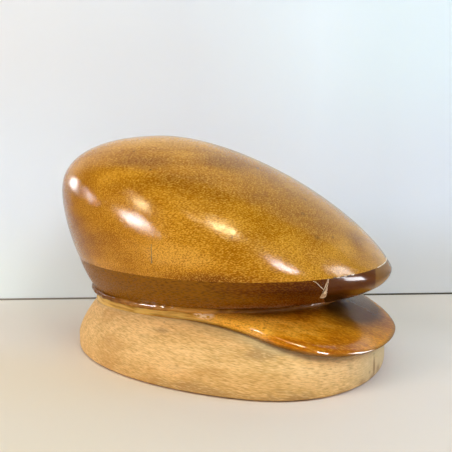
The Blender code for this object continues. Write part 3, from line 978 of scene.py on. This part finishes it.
def dark_red_varnish():
    """The nose of the band: dark red-brown, golden low down towards its paler tip as a painted reflection of
    the peak, and with painted shade beneath.
    """
    finish = Finish("dark_red_varnish", Roughness=0.2, Specular_IOR_Level=0.03,
                    Coat_Roughness=0.07, Coat_IOR=1.45)
    grain = finish.grain(BAND_AXES, (0.014, 0.004, 0.0012))
    broad = finish.grain(BAND_AXES, (0.026, 0.014, 0.007), detail=2.0)
    # A golden painted reflection of the peak, low down on the nose
    golden = (finish.z + broad * 0.006).rise(GROOVE_Z + 0.020, GROOVE_Z + 0.014)
    tone = golden * finish.x.rise(0.098, 0.114) * 0.5 + grain * 0.25 + broad * 0.3
    stops = [(0.15, (0.085, 0.016, 0.001)), (0.45, (0.150, 0.044, 0.001)), (0.90, (0.320, 0.140, 0.006))]
    pale = finish.ramp(tone, [(0.2, (0.20, 0.078, 0.010)), (0.9, (0.42, 0.20, 0.030))])
    tip = (finish.x + broad * 0.0012).rise(NOSE_EDGE_X, NOSE_EDGE_X + 0.0012)
    # Painted shade beneath the nose, where it hangs over the peak
    under = finish.above_groove(0.017, 0.011) * finish.x.rise(0.112, 0.098)
    colour = finish.stained(finish.ramp(tone, stops), (tip, pale), (under * 0.80, (0.016, 0.004, 0.001)))
    top = finish.above_groove(0.017, 0.020) * finish.x.rise(0.120, 0.114)
    coat = 0.02 + top * 0.34 + broad * 0.03
    return finish.lay(Base_Color=colour, Coat_Weight=coat, Normal=finish.bumps(grain, depth=0.00001))


# Lighter and darker parts of the peak: point, half sizes and how much lighter
PEAK_TONES = (
    ((0.018, -0.083, 0.045), (0.016, 0.016, 0.008), 0.40),
    ((0.035, -0.086, 0.042), (0.040, 0.026, 0.018), 0.62),
    # A painted highlight on the horn's rounded edge
    ((0.050, -0.094, 0.0405), (0.017, 0.016, 0.008), 0.40),
    ((0.066, -0.073, 0.040), (0.030, 0.026, 0.020), 0.14),
    ((0.084, -0.074, 0.038), (0.022, 0.020, 0.014), 0.16),
    ((0.076, -0.065, 0.042), (0.020, 0.016, 0.010), -0.22),
    ((0.073, -0.095, 0.033), (0.022, 0.012, 0.009), -0.24),
    ((0.098, -0.083, 0.031), (0.026, 0.014, 0.010), -0.26),
    ((0.108, -0.074, 0.030), (0.034, 0.036, 0.024), -0.14),
    ((0.132, -0.020, 0.028), (0.026, 0.050, 0.026), -0.26),
)

# Where the rim's varnish is thick enough to shine: point, half sizes and how much coat
PEAK_SHINE = (
    ((0.018, -0.083, 0.045), (0.012, 0.016, 0.010), 0.60),
    ((0.053, -0.096, 0.041), (0.018, 0.024, 0.016), 1.30),
    ((0.090, -0.096, 0.033), (0.018, 0.030, 0.020), 1.30),
    ((0.116, -0.078, 0.027), (0.014, 0.030, 0.016), 1.30),
)


def amber_varnish():
    """The collar and peak: amber hardwood under thick gloss varnish, with painted shade in the groove and
    under the nose, and painted highlights on the horn.
    """
    finish = Finish("amber_varnish", Coat_Roughness=0.06, Coat_IOR=1.45, Specular_IOR_Level=0.045)
    flecks = finish.flecks(PEAK_AXES, (0.0017, 0.0014, 0.0008), edge=0.68, core=0.18)
    grain = finish.grain(PEAK_AXES, (0.014, 0.004, 0.0014))
    broad = finish.grain(PEAK_AXES, (0.026, 0.020, 0.012))
    mottle = finish.grain(PEAK_AXES, (0.0070, 0.0050, 0.0030), detail=2.0)
    threads = finish.grain(PEAK_AXES, (0.0026, 0.0016, 0.0009), detail=1.0)
    streaks = finish.grain(UNTURNED, (0.018, 0.018, 0.0024), distortion=0.3)
    tone = grain * 0.25 + broad * 0.9 + mottle * 0.55 + finish.patches(PEAK_TONES) - 0.30
    stops = [(0.10, (0.32, 0.082, 0.001)), (0.28, (0.43, 0.120, 0.002)), (0.54, (0.66, 0.226, 0.005)),
             (1.00, (0.98, 0.480, 0.050))]
    pale = finish.ramp(streaks, [(0.34, (0.40, 0.200, 0.028)), (0.56, (0.80, 0.52, 0.130))])
    climb = finish.x.rise(-0.030, -0.070) * 0.006
    collar = (finish.z + climb).rise(GROOVE_Z - 0.0092, GROOVE_Z - 0.0068) * finish.x.rise(0.036, -0.004)
    below = below_joint(finish)
    edge = below.rise(-0.0028, -0.0010) * finish.x.rise(-0.03, 0.03)
    # Painted shade on the peak in the corner under the band's lip, towards the front
    painted_groove_shade = finish.above_groove(-0.0055, -0.0012) * finish.x.rise(0.026, 0.056)
    # Painted shade on the peak under the nose
    painted_shade_under_nose = finish.patch((0.104, 0.013, 0.040), (0.054, 0.092, 0.024)).rise(0.0, 0.4)
    # A pale spot where the horn starts: varnish worn through to the wood, and a painted highlight on it
    worn = finish.patch((0.0150, -0.0826, 0.0446), (0.0110, 0.0090, 0.0042)).rise(0.1, 0.6)
    colour = finish.stained(
        finish.ramp(tone, stops),
        (flecks * 0.40 + threads.rise(0.50, 0.3) * 0.32, (0.30, 0.080, 0.001)),
        (threads.rise(0.50, 0.70) * 0.36, (0.84, 0.38, 0.030)),
        (collar * 0.9, pale),
        (edge * 0.8, (0.170, 0.075, 0.008)),
        (painted_groove_shade * 0.75, (0.17, 0.050, 0.001)),
        (painted_shade_under_nose * 0.9, (0.075, 0.022, 0.002)),
        (worn * threads.rise(0.3, 0.55) * 0.9, (0.94, 0.68, 0.42)),
    )
    gloss = 0.16 + flecks * 0.08
    rim = below.rise(-0.0085, -0.0045) * finish.patches(PEAK_SHINE)
    coat = (0.05 + broad * 0.05 - painted_shade_under_nose * 0.06 + rim).math("MINIMUM", 1.0)
    bumps = finish.bumps(grain * 0.6 - flecks * 0.3, depth=0.00002)
    return finish.lay(Base_Color=colour, Roughness=gloss, Coat_Weight=coat, Normal=bumps)


def set_varnish():
    """Thick dark varnish, run together into lumps."""
    finish = Finish("set_varnish", Coat_Roughness=0.10, Roughness=0.25, Specular_IOR_Level=0.04)
    lumps = finish.grain(UNTURNED, (0.007, 0.007, 0.004))
    stops = [(0.32, (0.20, 0.070, 0.004)), (0.52, (0.36, 0.140, 0.012)), (0.68, (0.52, 0.24, 0.04))]
    golden = finish.patch((0.006, -0.083, 0.046), (0.026, 0.020, 0.012)).rise(0.0, 0.6)
    colour = finish.stained(
        finish.ramp(lumps, stops),
        (finish.x.rise(-0.040, -0.062) * 0.8, (0.150, 0.046, 0.001)),
        (finish.x.rise(0.025, 0.055) * 0.7, (0.28, 0.095, 0.010)),
        (golden * 0.7, (0.66, 0.32, 0.050)),
    )
    coat = 0.75 - finish.x.rise(-0.038, -0.060) * 0.6 - finish.x.rise(0.01, 0.05) * 0.4
    return finish.lay(Base_Color=colour, Coat_Weight=coat)


def filler(name, dark, light):
    """Wood filler, dried glue or dirt, mottled from a dark shade to a light one."""
    finish = Finish(name, Roughness=0.45, Specular_IOR_Level=0.4)
    mottle = finish.grain(UNTURNED, (0.0022, 0.0022, 0.0040))
    colour = finish.ramp(mottle, [(0.36, dark), (0.60, light)])
    return finish.lay(Base_Color=colour, Normal=finish.bumps(mottle, depth=0.0001))


# Marks on the bare base, and four flat patches that darken its foot at the front: point, half sizes and how
# dark
BASE_MARKS = (
    ((-0.0116, -0.0873, 0.0333), (0.0070, 0.0080, 0.0030), 0.40),
    ((0.0023, -0.1014, 0.0150), (0.0080, 0.0080, 0.0040), 0.25),
    ((-0.0129, -0.0820, 0.0377), (0.0012, 0.0020, 0.0012), 0.90),
    ((0.1076, -0.0768, 0.0161), (0.0030, 0.0060, 0.0080), 0.30),
    ((0.1224, -0.0514, 0.0166), (0.0012, 0.0030, 0.0010), 0.85),
    ((0.1225, -0.0520, 0.0100), (0.0014, 0.0024, 0.0080), 1.80),
    ((0.1226, -0.0517, 0.0062), (0.0022, 0.0036, 0.0050), 1.60),
    ((0.1195, -0.0583, 0.0066), (0.0018, 0.0030, 0.0016), 0.90),
    ((0.1255, -0.0440, 0.0040), (0.0040, 0.0070, 0.0050), 1.10),
    ((0.1213, -0.0549, 0.0020), (0.0060, 0.0080, 0.0036), 0.90),
    ((0.1150, -0.0672, 0.0030), (0.0090, 0.0100, 0.0036), 0.70),
    ((0.1040, -0.0810, 0.0024), (0.0100, 0.0100, 0.0030), 0.50),
    ((0.0800, -0.0980, 0.0018), (0.0200, 0.0100, 0.0026), 0.45),
    ((-0.0140, -0.0862, 0.0334), (0.0120, 0.0100, 0.0022), 0.45),
    ((0.0008, -0.0888, 0.0330), (0.0100, 0.0100, 0.0020), 0.35),
    ((-0.0260, -0.0900, 0.0290), (0.0090, 0.0100, 0.0026), 0.30),
)

# Lighter and darker parts of the base: point, half sizes and how much lighter
BASE_TONES = (
    # Painted light, lifting the front of the base below the peak
    ((0.098, -0.085, 0.018), (0.044, 0.044, 0.018), 0.40),
    ((-0.008, -0.099, 0.015), (0.028, 0.024, 0.010), 0.22),
    ((0.003, -0.102, 0.012), (0.014, 0.016, 0.008), 0.22),
    ((0.060, -0.100, 0.015), (0.030, 0.030, 0.012), -0.16),
    # Painted shade just under the peak's rim
    ((0.058, -0.098, 0.028), (0.018, 0.020, 0.006), -0.40),
)


def raw_wood():
    """The base: bare pale hardwood with fine grain, handled and a little grimy, with painted shade along its
    foot, under the peak and at its front end.
    """
    finish = Finish("raw_wood", Specular_IOR_Level=0.1)
    flecks = finish.flecks(BASE_AXES, (0.0026, 0.0012, 0.0007), edge=0.64, core=0.18)
    grain = finish.grain(BASE_AXES, (0.020, 0.003, 0.0012))
    weave = finish.grain(WEAVE_AXES, (0.0040, 0.0040, 0.00050), detail=1.0)
    broad = finish.grain(BASE_AXES, (0.050, 0.030, 0.016), distortion=0.5)
    soft = finish.grain(BASE_AXES, (0.018, 0.009, 0.005), distortion=0.6)
    low = finish.z.rise(0.012, 0.001) * finish.x.rise(-0.045, 0.010) * finish.x.rise(0.105, 0.075)
    tone = grain * 0.30 + broad * 0.60 + soft * 0.50 + finish.patches(BASE_TONES) - low * 0.34 - 0.12
    stops = [(0.28, (0.50, 0.295, 0.100)), (0.52, (0.74, 0.445, 0.148)), (0.80, (0.91, 0.57, 0.225))]
    # Painted shade: the front end of the base greyer and darker
    front = finish.x.rise(0.100, 0.128)
    worn = broad.rise(0.48, 0.36) * finish.x.rise(0.060, 0.020)
    # Below the peak's joint: varnish seeped into the wood, and a painted shadow of the peak's rim, lighter
    # and greener towards the front
    lower = finish.x.rise(0.03, -0.03) * 0.003 + soft * 0.003
    seep_and_rim_shadow = (below_joint(finish) + lower).rise(0.0080, 0.0012) * finish.x.rise(0.120, 0.100)
    seep_and_shadow_tint = finish.ramp(finish.x.rise(0.020, 0.070), [(0.0, (0.50, 0.37, 0.160)), (1.0, (0.80, 0.70, 0.410))])
    # Dark marks and grime, and a painted shadow along the bottom edge where the base meets the bench
    grime_and_foot_shadow = finish.patches(BASE_MARKS) * (0.55 + soft * 0.9 - weave * 0.3) + finish.z.rise(0.0016, 0.0) * 0.5
    colour = finish.stained(
        finish.ramp(tone, stops),
        (flecks * 0.14 + weave.rise(0.52, 0.3) * 0.55, (0.50, 0.265, 0.075)),
        (weave.rise(0.50, 0.70) * 0.46, (0.98, 0.70, 0.34)),
        (front * 0.75, (0.60, 0.455, 0.230)),
        (worn * 0.35, (0.62, 0.30, 0.070)),
        (seep_and_rim_shadow * 0.7, seep_and_shadow_tint),
        (grime_and_foot_shadow.math("MINIMUM", 1.0) * 0.75, (0.26, 0.115, 0.030)),
    )
    gloss = 0.62 + grain * 0.1
    bumps = finish.bumps(weave * 0.5 + grain * 0.5, depth=0.00006)
    return finish.lay(Base_Color=colour, Roughness=gloss, Normal=bumps)


def dowel_wood():
    """The hidden dowels: bare beech."""
    finish = Finish("dowel_wood", Roughness=0.6)
    upright = wood_axes((0.0, 0.0, 1.0), (1.0, 0.0, 0.0))
    grain = finish.grain(upright, (0.020, 0.0015, 0.0010))
    colour = finish.ramp(grain, [(0.3, (0.50, 0.29, 0.12)), (0.7, (0.70, 0.45, 0.22))])
    return finish.lay(Base_Color=colour, Normal=finish.bumps(grain, depth=0.00005))


# The wall stands close behind the block, turned a little towards the camera
WALL_TURN = math.radians(16.2)
WALL_DISTANCE = 0.134
WALL_LEFT = -0.33
WALL_RIGHT = 0.75
WALL_HEIGHT = 1.1
FLOOR_REACH = 1.6

# The thin dark line along the wall's foot, from its lower edge to its upper one
FOOT_SHADOW = Vector((0.0, -0.0004, 0.0019))

# How far behind the block's middle the paints' shades start, and how far clouds shift them across and up
PAINT_START = 0.5
PAINT_SHIFT = (0.06, 0.02)

# Painted light and shade on the wall and floor: where a row starts and is reached, and its colours at places
# along X. The wall is painted darker low down on the right, and lighter and cooler high up on the right; the
# floor darker at the back on the right.
WALL_LIGHT_AND_SHADE = (
    (0.0, 0.0, ((-0.22, (0.87, 0.96, 0.99)), (-0.03, (0.78, 0.82, 0.85)), (0.17, (0.67, 0.68, 0.675)))),
    (0.03, 0.12, ((-0.22, (0.81, 0.89, 0.985)), (0.10, (0.80, 0.885, 0.985)), (0.17, (0.76, 0.83, 0.91)))),
    (0.13, 0.28, ((-0.22, (0.78, 0.81, 0.850)), (-0.03, (0.75, 0.80, 0.860)), (0.10, (0.81, 0.92, 0.99)),
                  (0.17, (0.77, 0.89, 0.94)))),
)
FLOOR_LIGHT_AND_SHADE = (
    (0.0, 0.0, ((0.00, (0.775, 0.66, 0.50)), (0.14, (0.76, 0.646, 0.526)))),
    (-0.14, -0.02, ((-0.11, (0.72, 0.65, 0.585)), (0.155, (0.75, 0.640, 0.530)))),
    (0.02, 0.11, ((-0.18, (0.722, 0.665, 0.596)), (0.165, (0.66, 0.56, 0.45)))),
)


def panel(name, corners, material):
    """A flat piece of the room, which isn't part of the block."""
    bm = bmesh.new()
    bm.faces.new([bm.verts.new(corner) for corner in corners])
    made = put(name, mesh_from(name, bm, material))


def matt_paint(name, rows, size, axis):
    """Paint with a faint unevenness of the given size, and painted light and shade that change from row to
    row along an axis.

    Each row holds where it starts and is reached, and its colours at places along X.
    """
    finish = Finish(name, Specular_IOR_Level=0.2)
    clouds = finish.grain(UNTURNED, (size, size, size), detail=4.0)
    across = finish.x + clouds * PAINT_SHIFT[0] + PAINT_START
    upward = finish.parts(finish.place)[axis] + clouds * PAINT_SHIFT[1]
    colour = None
    for start, end, colours in rows:
        row = finish.ramp(across, [(x + PAINT_START, tone) for x, tone in colours])
        colour = finish.blend(upward.rise(start, end), colour, row) if colour else row
    return finish.lay(Base_Color=colour, Roughness=0.65 + clouds * 0.1), finish


def seen_from_front(finish):
    """Lets the wall be looked through from behind."""
    back = finish.add("NewGeometry", output="Backfacing")
    clear = finish.add("BsdfTransparent")
    shader = Value(finish, finish.shader.outputs[0])
    mixed = finish.add("MixShader", inputs=(back, shader, clear))
    out = finish.tree.nodes["Material Output"]
    finish.tree.links.new(mixed.socket, out.inputs["Surface"])


def set_stage():
    along = Vector((math.cos(WALL_TURN), math.sin(WALL_TURN), 0.0))
    foot = Vector((-math.sin(WALL_TURN), math.cos(WALL_TURN), 0.0)) * WALL_DISTANCE
    left = foot + along * WALL_LEFT
    right = foot + along * WALL_RIGHT
    up = Vector((0.0, 0.0, WALL_HEIGHT))
    wall_paint_with_light_and_shade, wall = matt_paint("wall_paint_with_light_and_shade", WALL_LIGHT_AND_SHADE, 0.15, axis=2)
    seen_from_front(wall)
    panel("wall", [left, right, right + up, left + up], wall_paint_with_light_and_shade)
    shadow = Finish("wall_foot_shadow", Roughness=0.8, Specular_IOR_Level=0.1)
    across = shadow.x.rise(-0.35, 0.25) + shadow.clouds(shadow.place) * 0.1
    shade = shadow.ramp(across, [(0.0, (0.34, 0.31, 0.27)), (1.0, (0.09, 0.08, 0.06))])
    panel("wall_foot", [left, right, right + FOOT_SHADOW, left + FOOT_SHADOW], shadow.lay(Base_Color=shade))
    floor_paint_with_shade, _ = matt_paint("floor_paint_with_shade", FLOOR_LIGHT_AND_SHADE, 0.09, axis=1)
    ways = ((-1, -1), (1, -1), (1, 1), (-1, 1))
    panel("floor", [(x * FLOOR_REACH, y * FLOOR_REACH, 0) for x, y in ways], floor_paint_with_shade)


# Strength of the room's own light
ROOM_BRIGHTNESS = 0.62


def set_world():
    """The rest of the room: grey all round and darker overhead."""
    world = bpy.data.worlds.new("room")
    bpy.context.scene.world = world
    world.use_nodes = True
    nodes = Nodes(world.node_tree)
    height = nodes.parts(nodes.add("TexCoord", output="Generated"))[2]
    stops = [(0.0, (0.36, 0.36, 0.37)), (0.2, (0.30, 0.30, 0.31)), (0.7, (0.08, 0.08, 0.085))]
    colour = nodes.ramp(height, stops)
    background = world.node_tree.nodes["Background"]
    world.node_tree.links.new(colour.socket, background.inputs["Color"])
    background.inputs["Strength"].default_value = ROOM_BRIGHTNESS


# The point that every lamp faces
BLOCK_MIDDLE = Vector((0.0, 0.0, 0.09))


def lamp(name, place, size, colour, roll=0.0):
    """A rectangular lamp that faces the block, of brightness 1."""
    light = bpy.data.lights.new(name, "AREA")
    light.shape = "RECTANGLE"
    light.size, light.size_y = size
    light.energy = math.pi * size[0] * size[1]
    light.color = colour
    made = put(name, light)
    made.location = place
    aim = (BLOCK_MIDDLE - Vector(place)).to_track_quat("-Z", "Y")
    made.rotation_mode = "QUATERNION"
    made.rotation_quaternion = aim @ Matrix.Rotation(math.radians(roll), 4, "Z").to_quaternion()
    made.visible_camera = False
    return made


def window(name, place, size, brightness, colour, roll=0.0):
    """A bright patch of the room that only the varnish mirrors."""
    made = lamp(name, place, size, colour, roll)
    made.data.energy *= brightness
    made.visible_diffuse = False


def fill(name, place, size, colour):
    """A softbox, whose colour is the light that reaches a face turned to it."""
    made = lamp(name, place, size, colour)
    reach = (BLOCK_MIDDLE - Vector(place)).length
    made.data.energy *= math.pi * reach * reach / (size[0] * size[1])
    made.visible_glossy = False


def set_lamps():
    cool = (0.93, 0.96, 1.0)
    pink = (1.0, 0.90, 0.95)
    warm = (1.0, 0.80, 0.45)
    window("left_front_window", (-1.040, -1.090, 0.640), (0.40, 0.42), 16.0, pink, roll=33)
    window("left_front_core", (-1.085, -1.045, 0.600), (0.42, 0.22), 105.0, cool, roll=30)
    window("warm_lamp", (-0.845, -0.862, 1.141), (0.20, 0.28), 90.0, warm)
    window("left_window", (-1.500, 0.380, 0.475), (0.20, 0.26), 30.0, cool)
    window("small_left_window", (-1.452, -0.200, 0.518), (0.08, 0.06), 140.0, cool)
    window("ceiling_lamp", (0.335, -0.840, 1.365), (0.34, 0.15), 150.0, warm, roll=8)
    window("ceiling_glow", (0.030, -0.930, 1.355), (0.36, 0.13), 26.0, warm, roll=-2)
    window("right_front_window", (1.060, -0.975, 0.795), (0.16, 0.40), 140.0, pink, roll=47)
    window("right_window", (0.855, 0.017, 0.386), (0.24, 0.24), 32.0, cool)
    window("low_right_window", (0.889, 0.070, 0.110), (0.28, 0.18), 38.0, cool)
    fill("top_fill", (0.10, -0.35, 1.5), (0.9, 0.9), (0.21, 0.27, 0.25))
    fill("left_high_fill", (-0.85, -0.85, 1.1), (0.7, 0.7), (0.30, 0.29, 0.28))
    fill("right_high_fill", (0.95, -0.80, 1.1), (0.7, 0.7), (0.42, 0.40, 0.34))
    fill("left_front_fill", (-1.067, -1.062, 0.631), (0.70, 0.42), (0.20, 0.16, 0.15))
    fill("right_fill", (1.3, 0.10, 1.0), (0.7, 0.7), (0.04, 0.15, 0.40))


def set_camera():
    lens = bpy.data.cameras.new("camera")
    lens.lens = LENS
    lens.sensor_width = SENSOR
    lens.clip_start = 0.01
    lens.clip_end = 20.0
    made = put("camera", lens)
    turn = Matrix.Rotation(CAMERA_TURN, 4, "Z")
    tip = Matrix.Rotation(math.pi / 2 - CAMERA_DOWN, 4, "X")
    roll = Matrix.Rotation(CAMERA_ROLL, 4, "Z")
    made.matrix_world = Matrix.Translation(CAMERA_PLACE) @ turn @ tip @ roll
    bpy.context.scene.camera = made


def main():
    make_crown()
    make_band()
    make_peak_board()
    make_base()
    run_groove_bead()
    run_seam_repairs()
    dowels = dowel_wood()
    for name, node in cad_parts.items():
        if "dowel" in name:
            node.data.materials.clear()
            node.data.materials.append(dowels)
    set_stage()
    set_world()
    set_lamps()
    set_camera()
    bpy.context.scene.view_settings.view_transform = "Standard"


main()
